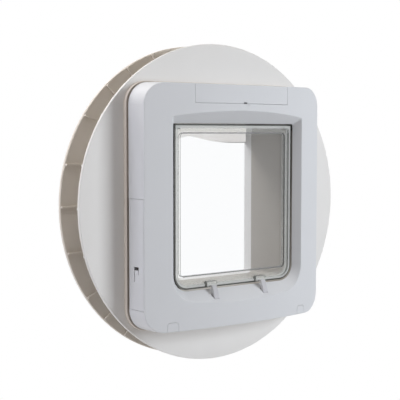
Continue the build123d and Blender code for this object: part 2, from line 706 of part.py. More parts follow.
# Clear flap: one moulding with a raised rim, a thin window, lugs, and round bosses at its hinge
with BuildPart() as flap:
    with BuildSketch(at_depth(flap_front + flap_thick)) as panel:
        flap_top = hinge_z + flap_thick / 2
        with Locations((0, (flap_top + flap_bottom) / 2)):
            Rectangle(2 * flap_half, flap_top - flap_bottom)
        fillet(panel.vertices().group_by(Axis.Y)[0], low_corner - flap_gap)
    extrude(amount=flap_thick)
    fillet(edges().filter_by(Axis.Y, reverse=True), bead_round)
    for side in (-1, 1):
        extrude(rod(side * boss_end, hinge_y, hinge_z, boss_radius), amount=-side * boss_length)
    fillet(faces().filter_by(GeomType.PLANE).sort_by(Axis.X)[0].edges(), boss_round)
    fillet(faces().filter_by(GeomType.PLANE).sort_by(Axis.X)[-1].edges(), boss_round)
    with BuildSketch(at_depth(flap_front + bead_step)):
        ledge_half = flap_half - bead_width
        ledge_bottom = flap_bottom + bead_width
        with Locations((0, (window_top + ledge_bottom) / 2)):
            ledge = Rectangle(2 * ledge_half, window_top - ledge_bottom)
        fillet(ledge.vertices().group_by(Axis.Y)[0], low_corner - flap_gap - bead_width)
    extrude(amount=flap_thick, mode=Mode.SUBTRACT)
    pane_set = (flap_thick - flap_pane_thick) / 2
    for depth in (flap_front + pane_set, flap_front + flap_thick + pane_set):
        with BuildSketch(at_depth(depth)):
            with Locations((0, (window_top + window_bottom) / 2)):
                RectangleRounded(2 * (flap_half - rim_side), window_top - window_bottom, window_corner)
        extrude(amount=pane_set, mode=Mode.SUBTRACT)
    # Lugs on the lower rim that the claws hold
    with BuildSketch(at_depth(hinge_y)):
        lug_z = flap_bottom + lug_rise + lug_height / 2
        with Locations((-claw_x, lug_z), (claw_x, lug_z)):
            RectangleRounded(lug_width, lug_height, lug_corner)
    extrude(amount=hinge_y - flap_front + lug_depth)
    fillet(faces().group_by(Axis.Y)[0].edges(), lug_round)
    for side in (-1, 1):
        extrude(rod(side * boss_end, hinge_y, hinge_z, pin_radius + pin_press_fit),
                amount=-side * pin_in_flap, mode=Mode.SUBTRACT)
flap.part.label = "flap"
export_step(flap.part, "parts/flap.step")

with BuildPart() as hinge_pins:
    for side in (-1, 1):
        extrude(rod(side * pin_end, hinge_y, hinge_z, pin_radius),
                amount=-side * (pin_end - boss_end + pin_in_flap))
hinge_pins.part.label = "hinge_pins"
export_step(hinge_pins.part, "parts/hinge_pins.step")

# Lock: shaft, claws and the geared motor that turns them
with BuildPart() as lock_shaft:
    extrude(rod(-shaft_half, lock_y, lock_z, shaft_radius), amount=2 * shaft_half)
lock_shaft.part.label = "lock_shaft"
export_step(lock_shaft.part, "parts/lock_shaft.step")

for side, word in ((-1, "left"), (1, "right")):
    with BuildPart() as lock_claw:
        # A finger that bends round the shaft, so that it turns down through a close slot
        with BuildSketch(across(side * claw_x - claw_width / 2)) as finger:
            with Locations((lock_y, lock_z)):
                Circle(claw_radius)
                Circle(claw_inner, mode=Mode.SUBTRACT)
            finger_low = lock_z - claw_arm_half
            with Locations((claw_tip_y - claw_radius / 2, (claw_tip_z + finger_low) / 2)):
                Rectangle(claw_radius, claw_tip_z - finger_low, mode=Mode.INTERSECT)
            fillet(finger.vertices().group_by(Axis.Y)[-1], claw_tip_round)
            with Locations((lock_y - claw_inner / 2, lock_z)):
                Rectangle(claw_inner + claw_thick / 2, 2 * claw_arm_half)
            with Locations((lock_y, lock_z)):
                Circle(claw_hub_radius)
                Circle(shaft_radius + pin_press_fit, mode=Mode.SUBTRACT)
        extrude(amount=claw_width)
    lock_claw.part.label = f"lock_claw_{word}"
    export_step(lock_claw.part, f"parts/lock_claw_{word}.step")

with BuildPart() as lock_motor:
    with BuildSketch(across(-gearbox_half)):
        gearbox_bottom = lock_z - gearbox_drop
        with Locations(((flange_front + lock_y - gearbox_reach) / 2, (under_collar + gearbox_bottom) / 2)):
            RectangleRounded(flange_front - lock_y + gearbox_reach, under_collar - gearbox_bottom,
                             gearbox_corner)
    extrude(amount=2 * gearbox_half)
    extrude(rod(-motor_half, lock_y, lock_z - motor_drop, motor_radius), amount=2 * motor_half)
    extrude(rod(-gearbox_half, lock_y, lock_z, shaft_radius + shaft_fit), amount=2 * gearbox_half,
            mode=Mode.SUBTRACT)
lock_motor.part.label = "lock_motor"
export_step(lock_motor.part, "parts/lock_motor.step")

# Controls under the hatch
with BuildPart() as control_panel:
    with BuildSketch(at_depth(panel_rear)):
        with Locations((0, (hatch_bottom - well_wall + well_top) / 2)):
            Rectangle(2 * (hatch_half + well_wall), well_top - hatch_bottom + well_wall)
        with Locations((button_x, control_z)):
            Circle(button_radius + button_guide_fit, mode=Mode.SUBTRACT)
        with Locations((light_x, control_z)):
            Circle(light_radius + screw_fit, mode=Mode.SUBTRACT)
        with Locations((-clamp_high_x, clamp_high_z), (clamp_high_x, clamp_high_z)):
            Circle(clamp_head_radius + access_fit, mode=Mode.SUBTRACT)
    extrude(amount=panel_thick)
control_panel.part.label = "control_panel"
export_step(control_panel.part, "parts/control_panel.step")

with BuildPart() as circuit_board:
    with BuildSketch(at_depth(board_rear)):
        with Locations((0, (board_low + board_high) / 2)):
            Rectangle(2 * board_half, board_high - board_low)
    extrude(amount=board_thick)
    with BuildSketch(at_depth(board_rear)):
        with Locations((0, (board_low + board_high) / 2)):
            Rectangle(2 * switch_size, 2 * switch_size)
    extrude(amount=-switch_height)
circuit_board.part.label = "circuit_board"
export_step(circuit_board.part, "parts/circuit_board.step")

with BuildPart() as button_switch:
    with BuildSketch(at_depth(board_front)):
        with Locations((button_x, control_z)):
            Rectangle(switch_size, switch_size)
    extrude(amount=switch_height)
button_switch.part.label = "button_switch"
export_step(button_switch.part, "parts/button_switch.step")

with BuildPart() as learn_button:
    button_seat = panel_rear + button_rest_gap
    button_end = button_seat + button_flange_thick + button_tail
    extrude(circles(button_end, [(button_x, control_z)], button_radius),
            amount=button_end - well_rear + button_proud)
    fillet(faces().sort_by(Axis.Y)[0].edges(), button_radius / 4)
    extrude(circles(button_seat + button_flange_thick, [(button_x, control_z)], button_flange_radius),
            amount=button_flange_thick)
learn_button.part.label = "learn_button"
export_step(learn_button.part, "parts/learn_button.step")

with BuildPart() as status_light:
    extrude(circles(board_front, [(light_x, control_z)], light_radius),
            amount=board_front - well_rear + light_proud)
    fillet(faces().sort_by(Axis.Y)[0].edges(), light_radius / 2)
status_light.part.label = "status_light"
export_step(status_light.part, "parts/status_light.step")

# Batteries and their contacts
for side, side_word in ((-1, "left"), (1, "right")):
    for row, row_word in enumerate(("upper", "lower")):
        nub_top = cell_top - row * cell_pitch
        with BuildPart() as battery_cell:
            with BuildSketch(Plane.XY.offset(nub_top - cell_pitch)):
                with Locations((side * cell_x, cell_y)):
                    Circle(cell_radius)
            extrude(amount=cell_length)
            fillet(edges().filter_by(GeomType.CIRCLE), cell_edge_round)
            with BuildSketch(Plane.XY.offset(nub_top)):
                with Locations((side * cell_x, cell_y)):
                    Circle(cell_nub_radius)
            extrude(amount=-2 * cell_nub)
        battery_cell.part.label = f"battery_cell_{side_word}_{row_word}"
        export_step(battery_cell.part, f"parts/battery_cell_{side_word}_{row_word}.step")

with BuildPart() as battery_contacts:
    with BuildSketch(Plane.XY.offset(cell_top)):
        with Locations((-cell_x, cell_y), (cell_x, cell_y)):
            RectangleRounded(2 * contact_half, 2 * contact_half, contact_half / 3)
    extrude(amount=contact_thick)
battery_contacts.part.label = "battery_contacts"
export_step(battery_contacts.part, "parts/battery_contacts.step")

with BuildPart() as battery_springs:
    for side in (-1, 1):
        with BuildSketch(at_depth(cell_y + contact_half)):
            with BuildLine():
                spring_low = bay_bottom + contact_thick / 2
                spring_high = bay_bottom + spring_room - contact_thick / 2
                Polyline(
                    (side * cell_x - contact_half, spring_low),
                    (side * cell_x + contact_half, spring_low),
                    (side * cell_x - contact_half / 2, spring_high),
                    (side * cell_x + contact_half / 2, spring_high),
                )
            trace(line_width=contact_thick)
    extrude(amount=2 * contact_half)
battery_springs.part.label = "battery_springs"
export_step(battery_springs.part, "parts/battery_springs.step")

# Screws
with BuildPart() as clamp_screws:
    clamp_tip = frame_rear - clamp_tip_gap
    extrude(circles(clamp_tip, clamp_points, clamp_radius), amount=clamp_tip - clamp_seat)
    extrude(circles(clamp_seat, clamp_points, clamp_head_radius), amount=clamp_head)
    with BuildSketch(at_depth(clamp_seat - clamp_head + drive_depth)):
        with Locations(*clamp_points):
            Rectangle(drive_length, drive_width)
            Rectangle(drive_width, drive_length)
    extrude(amount=drive_depth, mode=Mode.SUBTRACT)
clamp_screws.part.label = "clamp_screws"
export_step(clamp_screws.part, "parts/clamp_screws.step")

with BuildPart() as bezel_screws:
    extrude(circles(inner_front, bezel_screw_points, bezel_screw_head_radius), amount=bezel_screw_head)
    extrude(circles(inner_front, bezel_screw_points, bezel_screw_radius), amount=bezel_screw_reach)
bezel_screws.part.label = "bezel_screws"
export_step(bezel_screws.part, "parts/bezel_screws.step")

with BuildPart() as disc_screws:
    for face, way in ((0.0, 1), (pane_gap, -1)):
        extrude(circles(face, disc_screw_points, disc_screw_head_radius), amount=way * disc_screw_head)
        extrude(circles(face, disc_screw_points, disc_screw_radius),
                amount=way * (disc_thick + disc_screw_reach))
disc_screws.part.label = "disc_screws"
export_step(disc_screws.part, "parts/disc_screws.step")

# Reader coil wound round the tunnel, and the presence sensor in its roof
with BuildPart() as reader_coil:
    extrude(tunnel_outline(coil_front + coil_depth, tunnel_grow + coil_fit + coil_thick), amount=coil_depth)
    extrude(tunnel_outline(coil_front + coil_depth, tunnel_grow + coil_fit), amount=coil_depth,
            mode=Mode.SUBTRACT)
reader_coil.part.label = "reader_coil"
export_step(reader_coil.part, "parts/reader_coil.step")

with BuildPart() as presence_sensor:
    with BuildSketch(Plane.XY.offset(tunnel_roof)):
        with Locations((0, sensor_y)):
            Circle(sensor_radius)
    extrude(amount=tunnel_wall)
    with BuildSketch(Plane.XY.offset(tunnel_roof + tunnel_wall)):
        with Locations((0, sensor_y)):
            Circle(sensor_flange_radius)
    extrude(amount=sensor_flange)
presence_sensor.part.label = "presence_sensor"
export_step(presence_sensor.part, "parts/presence_sensor.step")
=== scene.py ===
import bpy
import math
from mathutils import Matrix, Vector


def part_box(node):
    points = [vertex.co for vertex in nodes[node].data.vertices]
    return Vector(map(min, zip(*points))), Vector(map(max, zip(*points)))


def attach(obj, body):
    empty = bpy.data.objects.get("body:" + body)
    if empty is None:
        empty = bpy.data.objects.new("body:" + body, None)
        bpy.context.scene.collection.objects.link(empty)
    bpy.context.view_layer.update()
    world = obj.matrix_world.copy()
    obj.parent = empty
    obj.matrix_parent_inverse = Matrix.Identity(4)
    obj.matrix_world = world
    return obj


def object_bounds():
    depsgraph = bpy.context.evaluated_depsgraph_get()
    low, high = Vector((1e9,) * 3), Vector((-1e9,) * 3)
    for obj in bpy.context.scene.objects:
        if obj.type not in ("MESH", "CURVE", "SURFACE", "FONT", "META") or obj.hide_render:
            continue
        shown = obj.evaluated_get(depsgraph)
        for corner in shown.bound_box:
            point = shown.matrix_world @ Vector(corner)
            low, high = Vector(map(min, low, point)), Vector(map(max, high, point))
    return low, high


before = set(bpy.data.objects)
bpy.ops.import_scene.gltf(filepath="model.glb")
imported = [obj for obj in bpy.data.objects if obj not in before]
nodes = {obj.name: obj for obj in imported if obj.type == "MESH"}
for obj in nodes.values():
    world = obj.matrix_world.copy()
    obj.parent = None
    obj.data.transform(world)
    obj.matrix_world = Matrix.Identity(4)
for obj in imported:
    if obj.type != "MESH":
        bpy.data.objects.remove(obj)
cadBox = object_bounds()
mm = 0.001
print("frame loaded,", len(nodes), "nodes")


# Helpers shared by every piece and finish
def hexToLinear(colour):
    parts = [int(colour[i:i + 2], 16) / 255 for i in (1, 3, 5)]
    return [p / 12.92 if p <= 0.04045 else ((p + 0.055) / 1.055) ** 2.4 for p in parts] + [1.0]


def addNode(tree, kind, settings=None, links=None):
    node = tree.nodes.new(kind)
    for key, value in (settings or {}).items():
        if isinstance(key, int) or key in node.inputs.keys():  # a socket, by number or name
            node.inputs[key].default_value = value
        else:
            setattr(node, key, value)
    for key, (source, output) in (links or {}).items():
        tree.links.new(source.outputs[output], node.inputs[key])
    return node


def newMaterial(name):
    material = bpy.data.materials.new(name)
    material.use_nodes = True
    tree = material.node_tree
    return material, tree, tree.nodes["Principled BSDF"]


# Moulded ABS: a spark-eroded mould leaves an even satin skin, faintly uneven in gloss and tone.
# The grain of such a skin is about 0.3 mm, too fine to show here, so it is drawn at a few millimetres.
# The nylon, polyamide and acetal mouldings have the same skin at another gloss.
absSkin = {"grainMm": 2.2, "cloudMm": 45.0, "roughness": 0.42, "glossSpread": 0.05,
           "bump": 0.04, "bumpMm": 0.3, "ior": 1.53}


def mouldedAbs(name, light, dark, roughness=absSkin["roughness"]):
    material, tree, shader = newMaterial(name)
    place = addNode(tree, "ShaderNodeTexCoord")
    cloud = addNode(tree, "ShaderNodeTexNoise",
                    {"Scale": 1 / (absSkin["cloudMm"] * mm), "Detail": 3.0, "Roughness": 0.5},
                    {"Vector": (place, "Object")})
    grain = addNode(tree, "ShaderNodeTexNoise",
                    {"Scale": 1 / (absSkin["grainMm"] * mm), "Detail": 2.0, "Roughness": 0.6},
                    {"Vector": (place, "Object")})
    tone = addNode(tree, "ShaderNodeMix",
                   {"data_type": "RGBA", "A": hexToLinear(light), "B": hexToLinear(dark)},
                   {"Factor": (cloud, "Fac")})
    gloss = addNode(tree, "ShaderNodeMapRange",
                    {"To Min": roughness - absSkin["glossSpread"], "To Max": roughness + absSkin["glossSpread"]},
                    {"Value": (grain, "Fac")})
    relief = addNode(tree, "ShaderNodeBump",
                     {"Strength": absSkin["bump"], "Distance": absSkin["bumpMm"] * mm},
                     {"Height": (grain, "Fac")})
    tree.links.new(tone.outputs["Result"], shader.inputs["Base Color"])
    tree.links.new(gloss.outputs["Result"], shader.inputs["Roughness"])
    tree.links.new(relief.outputs["Normal"], shader.inputs["Normal"])
    shader.inputs["IOR"].default_value = absSkin["ior"]
    return material


# The outdoor frame's lintel is thin and lets light through, in a box across the mouth above its lowest edge.
lintel = {"half": 91.9, "low": 74.0, "high": 99.3, "glowMm": 110.0}


def lightLintel(material):
    tree = material.node_tree
    shader = tree.nodes["Principled BSDF"]
    place = addNode(tree, "ShaderNodeTexCoord")
    spot = addNode(tree, "ShaderNodeSeparateXYZ", None, {"Vector": (place, "Object")})
    across = addNode(tree, "ShaderNodeMath", {"operation": "ABSOLUTE"}, {0: (spot, "X")})
    inMouth = addNode(tree, "ShaderNodeMath", {"operation": "LESS_THAN", 1: lintel["half"] * mm},
                      {0: (across, 0)})
    above = addNode(tree, "ShaderNodeMath", {"operation": "GREATER_THAN", 1: lintel["low"] * mm},
                    {0: (spot, "Z")})
    below = addNode(tree, "ShaderNodeMath", {"operation": "LESS_THAN", 1: lintel["high"] * mm},
                    {0: (spot, "Z")})
    upright = addNode(tree, "ShaderNodeMath", {"operation": "MULTIPLY"}, {0: (above, 0), 1: (below, 0)})
    thin = addNode(tree, "ShaderNodeMath", {"operation": "MULTIPLY"}, {0: (inMouth, 0), 1: (upright, 0)})
    tree.links.new(thin.outputs[0], shader.inputs["Subsurface Weight"])
    shader.inputs["Subsurface Radius"].default_value = [lintel["glowMm"] * mm] * 3
    shader.inputs["Subsurface Scale"].default_value = 1.0


# Painted shade: the housing's colour is darker in the narrow gap between housing and bezel, standing in for the
# shadow there, and the eye reads it as a dark line round the bezel.
housingGapShade = {"front": -9.3, "ringMm": 12.0, "shade": "#b8aea5"}


def paintGapShade(material, node):
    tree = material.node_tree
    shader = tree.nodes["Principled BSDF"]
    plain = shader.inputs["Base Color"].links[0].from_node
    low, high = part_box(node)
    ring = housingGapShade["ringMm"] * mm
    place = addNode(tree, "ShaderNodeTexCoord")
    spot = addNode(tree, "ShaderNodeSeparateXYZ", None, {"Vector": (place, "Object")})
    ahead = addNode(tree, "ShaderNodeMath", {"operation": "LESS_THAN", 1: housingGapShade["front"] * mm},
                    {0: (spot, "Y")})
    across = addNode(tree, "ShaderNodeMath", {"operation": "ABSOLUTE"}, {0: (spot, "X")})
    bySide = addNode(tree, "ShaderNodeMath", {"operation": "GREATER_THAN", 1: high[0] - ring}, {0: (across, 0)})
    byTop = addNode(tree, "ShaderNodeMath", {"operation": "GREATER_THAN", 1: high[2] - ring}, {0: (spot, "Z")})
    byFoot = addNode(tree, "ShaderNodeMath", {"operation": "LESS_THAN", 1: low[2] + ring}, {0: (spot, "Z")})
    byEnd = addNode(tree, "ShaderNodeMath", {"operation": "MAXIMUM"}, {0: (byTop, 0), 1: (byFoot, 0)})
    byEdge = addNode(tree, "ShaderNodeMath", {"operation": "MAXIMUM"}, {0: (bySide, 0), 1: (byEnd, 0)})
    # painted shade: darker colour on the ring of the housing that lies in the gap behind the bezel
    gapShade = addNode(tree, "ShaderNodeMath", {"operation": "MULTIPLY"}, {0: (ahead, 0), 1: (byEdge, 0)})
    tone = addNode(tree, "ShaderNodeMix", {"data_type": "RGBA", "B": hexToLinear(housingGapShade["shade"])},
                   {"Factor": (gapShade, 0), "A": (plain, "Result")})
    tree.links.new(tone.outputs["Result"], shader.inputs["Base Color"])


# Clear polycarbonate: injection moulded and polished over its window, so the eye looks through it.
# The rim is drawn in bands inwards from the flap's outline: a dark line of painted shade, for the shadowed gap
# round the flap and for the light the round edge bends away, a frosted bead, then a thick clear ledge. Side walls
# are satin and painted grey, as shade where they turn away, and the window's step is a dark line of painted
# shade.
clearFlap = {
    "half": 89.5, "foot": -97.5, "top": 96.5, "corner": 18.5,
    "windowHalf": 79.7, "windowRise": 83.85, "windowMid": 1.85, "windowCorner": 5.0,
    # Colours of painted shade: the line along the window's step, and the grey of the side walls
    "line": "#3a3b39", "lineMm": 1.1, "lineStrength": 0.9,
    "edge": "#70716e", "edgeLoss": 0.5, "edgeSatin": 0.25, "edgeOn": 0.35, "edgeOff": 0.8,
    "hazeMm": 35.0, "haze": 0.04, "ior": 1.58, "specular": 0.4, "bandMm": 14.0,
    # The two darkest bands at the outline are painted shade of the gap round the flap and of its bending edge
    "bands": [(0.0, "#373836", 0.7), (1.7, "#3f403e", 0.7), (2.3, "#c6c7c3", 0.3), (4.0, "#d4d5d2", 0.45),
              (5.8, "#ebece9", 0.88), (9.6, "#f2f3f1", 0.93), (10.2, "#fbfcfd", 1.0)],  # depth, colour, clearness
}


def clearPolycarbonate(name):
    material, tree, shader = newMaterial(name)
    place = addNode(tree, "ShaderNodeTexCoord")
    spot = addNode(tree, "ShaderNodeSeparateXYZ", None, {"Vector": (place, "Object")})
    across = addNode(tree, "ShaderNodeMath", {"operation": "ABSOLUTE"}, {0: (spot, "X")})
    # How far in from the flap's outline, which is round at its lower corners
    sideways = addNode(tree, "ShaderNodeMath",
                       {"operation": "SUBTRACT", 1: (clearFlap["half"] - clearFlap["corner"]) * mm},
                       {0: (across, 0)})
    downwards = addNode(tree, "ShaderNodeMath",
                        {"operation": "SUBTRACT", 0: (clearFlap["foot"] + clearFlap["corner"]) * mm},
                        {1: (spot, "Z")})
    outwards = addNode(tree, "ShaderNodeCombineXYZ", None, {"X": (sideways, 0), "Y": (downwards, 0)})
    outside = addNode(tree, "ShaderNodeVectorMath", {"operation": "MAXIMUM"}, {0: (outwards, 0)})
    reach = addNode(tree, "ShaderNodeVectorMath", {"operation": "LENGTH"}, {0: (outside, 0)})
    fromEdge = addNode(tree, "ShaderNodeMath", {"operation": "SUBTRACT", 0: clearFlap["corner"] * mm},
                       {1: (reach, "Value")})
    fromTop = addNode(tree, "ShaderNodeMath", {"operation": "SUBTRACT", 0: clearFlap["top"] * mm},
                      {1: (spot, "Z")})
    inset = addNode(tree, "ShaderNodeMath", {"operation": "MINIMUM"}, {0: (fromEdge, 0), 1: (fromTop, 0)})
    share = addNode(tree, "ShaderNodeMapRange", {"From Max": clearFlap["bandMm"] * mm}, {"Value": (inset, 0)})
    rim = addNode(tree, "ShaderNodeValToRGB", None, {"Fac": (share, "Result")})
    stops = rim.color_ramp.elements
    stops.remove(stops[-1])
    for i, (depth, colour, clearness) in enumerate(clearFlap["bands"]):
        stop = stops[0] if i == 0 else stops.new(depth / clearFlap["bandMm"])
        stop.color = hexToLinear(colour)[:3] + [clearness]
    # A line of painted shade along the window's step
    raised = addNode(tree, "ShaderNodeMath", {"operation": "SUBTRACT", 1: clearFlap["windowMid"] * mm},
                     {0: (spot, "Z")})
    upright = addNode(tree, "ShaderNodeMath", {"operation": "ABSOLUTE"}, {0: (raised, 0)})
    pastSide = addNode(tree, "ShaderNodeMath",
                       {"operation": "SUBTRACT", 1: (clearFlap["windowHalf"] - clearFlap["windowCorner"]) * mm},
                       {0: (across, 0)})
    pastSill = addNode(tree, "ShaderNodeMath",
                       {"operation": "SUBTRACT", 1: (clearFlap["windowRise"] - clearFlap["windowCorner"]) * mm},
                       {0: (upright, 0)})
    pastBoth = addNode(tree, "ShaderNodeCombineXYZ", None, {"X": (pastSide, 0), "Y": (pastSill, 0)})
    pastOnly = addNode(tree, "ShaderNodeVectorMath", {"operation": "MAXIMUM"}, {0: (pastBoth, 0)})
    radius = addNode(tree, "ShaderNodeVectorMath", {"operation": "LENGTH"}, {0: (pastOnly, 0)})
    fromStep = addNode(tree, "ShaderNodeMath", {"operation": "SUBTRACT", 1: clearFlap["windowCorner"] * mm},
                       {0: (radius, "Value")})
    away = addNode(tree, "ShaderNodeMath", {"operation": "ABSOLUTE"}, {0: (fromStep, 0)})
    line = addNode(tree, "ShaderNodeMapRange",
                   {"From Min": 0.0, "From Max": clearFlap["lineMm"] * mm,
                    "To Min": clearFlap["lineStrength"], "To Max": 0.0},
                   {"Value": (away, 0)})
    # Side walls, where the surface turns away from the flap's face: painted grey shade and less clearness
    facing = addNode(tree, "ShaderNodeSeparateXYZ", None, {"Vector": (place, "Normal")})
    flat = addNode(tree, "ShaderNodeMath", {"operation": "ABSOLUTE"}, {0: (facing, "Y")})
    wall = addNode(tree, "ShaderNodeMapRange",
                   {"From Min": clearFlap["edgeOn"], "From Max": clearFlap["edgeOff"],
                    "To Min": 1.0, "To Max": 0.0},
                   {"Value": (flat, 0)})
    step = addNode(tree, "ShaderNodeMath", {"operation": "MAXIMUM"}, {0: (line, 0), 1: (wall, 0)})
    flow = addNode(tree, "ShaderNodeTexNoise", {"Scale": 1 / (clearFlap["hazeMm"] * mm), "Detail": 1.0},
                   {"Vector": (place, "Object")})
    haze = addNode(tree, "ShaderNodeMapRange", {"To Min": 0.0, "To Max": clearFlap["haze"]},
                   {"Value": (flow, "Fac")})
    satin = addNode(tree, "ShaderNodeMath", {"operation": "MULTIPLY_ADD", 1: clearFlap["edgeSatin"]},
                    {0: (step, 0), 2: (haze, "Result")})
    walls = addNode(tree, "ShaderNodeMix", {"data_type": "RGBA", "B": hexToLinear(clearFlap["edge"])},
                    {"Factor": (wall, 0), "A": (rim, "Color")})
    tone = addNode(tree, "ShaderNodeMix", {"data_type": "RGBA", "B": hexToLinear(clearFlap["line"])},
                   {"Factor": (line, 0), "A": (walls, "Result")})
    through = addNode(tree, "ShaderNodeMath", {"operation": "MULTIPLY_ADD", 1: -clearFlap["edgeLoss"]},
                      {0: (step, 0), 2: (rim, "Alpha")})
    tree.links.new(tone.outputs["Result"], shader.inputs["Base Color"])
    tree.links.new(satin.outputs[0], shader.inputs["Roughness"])
    tree.links.new(through.outputs[0], shader.inputs["Transmission Weight"])
    shader.inputs["IOR"].default_value = clearFlap["ior"]
    shader.inputs["Specular IOR Level"].default_value = clearFlap["specular"]
    return material


# Zinc plated steel: bright grey with a soft, slightly streaky lustre.
zincCoat = {"colour": "#b9bbbd", "streakMm": 1.5, "shiny": 0.22, "dull": 0.42}


def zincSteel(name):
    material, tree, shader = newMaterial(name)
    place = addNode(tree, "ShaderNodeTexCoord")
    streak = addNode(tree, "ShaderNodeTexNoise", {"Scale": 1 / (zincCoat["streakMm"] * mm), "Detail": 4.0},
                     {"Vector": (place, "Object")})
    gloss = addNode(tree, "ShaderNodeMapRange", {"To Min": zincCoat["shiny"], "To Max": zincCoat["dull"]},
                    {"Value": (streak, "Fac")})
    tree.links.new(gloss.outputs["Result"], shader.inputs["Roughness"])
    shader.inputs["Base Color"].default_value = hexToLinear(zincCoat["colour"])
    shader.inputs["Metallic"].default_value = 1.0
    return material


# Solder mask over woven glass board: glossy green, with the copper tracks showing through as paler lines.
board = {"mask": "#1c5233", "track": "#2f7a4c", "trackMm": 0.4, "rowMm": 2.5, "runMm": 10.0,
         "bump": 0.3, "bumpMm": 0.05, "roughness": 0.28}


def solderMask(name):
    material, tree, shader = newMaterial(name)
    place = addNode(tree, "ShaderNodeTexCoord")
    turned = addNode(tree, "ShaderNodeMapping", {"Rotation": (math.pi / 2, 0.0, 0.0)},
                     {"Vector": (place, "Object")})
    tracks = addNode(tree, "ShaderNodeTexBrick",
                     {"Scale": 1.0, "Brick Width": board["runMm"] * mm, "Row Height": board["rowMm"] * mm,
                      "Mortar Size": board["trackMm"] * mm, "Mortar": hexToLinear(board["track"]),
                      "Color1": hexToLinear(board["mask"]), "Color2": hexToLinear(board["mask"])},
                     {"Vector": (turned, "Vector")})
    relief = addNode(tree, "ShaderNodeBump", {"Strength": board["bump"], "Distance": board["bumpMm"] * mm},
                     {"Height": (tracks, "Fac")})
    tree.links.new(tracks.outputs["Color"], shader.inputs["Base Color"])
    tree.links.new(relief.outputs["Normal"], shader.inputs["Normal"])
    shader.inputs["Roughness"].default_value = board["roughness"]
    return material


# Enamelled copper wire: a warm metal, ridged where the turns lie side by side, with painted shade, a darker
# copper, in the grooves between them.
# The wire is about 0.3 mm, and its ridges are drawn at 1.2 mm so that they show.
winding = {"copper": "#b4673a", "shade": "#8f4a26", "turnMm": 1.2, "waveScale": 0.314,
           "bump": 0.6, "bumpMm": 0.2, "roughness": 0.3}


def enamelledCopper(name):
    material, tree, shader = newMaterial(name)
    place = addNode(tree, "ShaderNodeTexCoord")
    turns = addNode(tree, "ShaderNodeTexWave",  # waveScale is the node's Scale for ridges 1 m apart
                    {"bands_direction": "Y", "Scale": winding["waveScale"] / (winding["turnMm"] * mm),
                     "Distortion": 0.0},
                    {"Vector": (place, "Object")})
    # painted shade: darker copper in the grooves between turns
    tone = addNode(tree, "ShaderNodeMix",
                   {"data_type": "RGBA", "A": hexToLinear(winding["shade"]), "B": hexToLinear(winding["copper"])},
                   {"Factor": (turns, "Fac")})
    relief = addNode(tree, "ShaderNodeBump", {"Strength": winding["bump"], "Distance": winding["bumpMm"] * mm},
                     {"Height": (turns, "Fac")})
    tree.links.new(tone.outputs["Result"], shader.inputs["Base Color"])
    tree.links.new(relief.outputs["Normal"], shader.inputs["Normal"])
    shader.inputs["Metallic"].default_value = 1.0
    shader.inputs["Roughness"].default_value = winding["roughness"]
    return material


# Shrunk plastic film over a steel can: even satin colour, with a plain pale band at one end.
cellFilm = {"body": "#3c4a5e", "band": "#b9bdc2", "bandMm": 9.0, "wrinkleMm": 6.0, "shiny": 0.25, "dull": 0.4,
            "cells": ["battery_cell_left_upper", "battery_cell_left_lower",
                      "battery_cell_right_upper", "battery_cell_right_lower"]}


def shrunkFilm(name, node):
    material, tree, shader = newMaterial(name)
    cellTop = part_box(node)[1][2]
    place = addNode(tree, "ShaderNodeTexCoord")
    spot = addNode(tree, "ShaderNodeSeparateXYZ", None, {"Vector": (place, "Object")})
    isBand = addNode(tree, "ShaderNodeMath",
                     {"operation": "GREATER_THAN", 1: cellTop - cellFilm["bandMm"] * mm}, {0: (spot, "Z")})
    wrinkle = addNode(tree, "ShaderNodeTexNoise", {"Scale": 1 / (cellFilm["wrinkleMm"] * mm), "Detail": 2.0},
                      {"Vector": (place, "Object")})
    gloss = addNode(tree, "ShaderNodeMapRange", {"To Min": cellFilm["shiny"], "To Max": cellFilm["dull"]},
                    {"Value": (wrinkle, "Fac")})
    tone = addNode(tree, "ShaderNodeMix",
                   {"data_type": "RGBA", "A": hexToLinear(cellFilm["body"]), "B": hexToLinear(cellFilm["band"])},
                   {"Factor": (isBand, 0)})
    tree.links.new(tone.outputs["Result"], shader.inputs["Base Color"])
    tree.links.new(gloss.outputs["Result"], shader.inputs["Roughness"])
    return material


# Red acrylic: a small moulded lens, clear enough for the light under it.
redLens = {"light": "#c22a22", "dark": "#a81d18", "cloudMm": 3.0, "roughness": 0.12, "through": 0.4, "ior": 1.49}


def redAcrylic(name):
    material, tree, shader = newMaterial(name)
    place = addNode(tree, "ShaderNodeTexCoord")
    cloud = addNode(tree, "ShaderNodeTexNoise", {"Scale": 1 / (redLens["cloudMm"] * mm)},
                    {"Vector": (place, "Object")})
    tone = addNode(tree, "ShaderNodeMix",
                   {"data_type": "RGBA", "A": hexToLinear(redLens["light"]), "B": hexToLinear(redLens["dark"])},
                   {"Factor": (cloud, "Fac")})
    tree.links.new(tone.outputs["Result"], shader.inputs["Base Color"])
    shader.inputs["Roughness"].default_value = redLens["roughness"]
    shader.inputs["Transmission Weight"].default_value = redLens["through"]
    shader.inputs["IOR"].default_value = redLens["ior"]
    return material


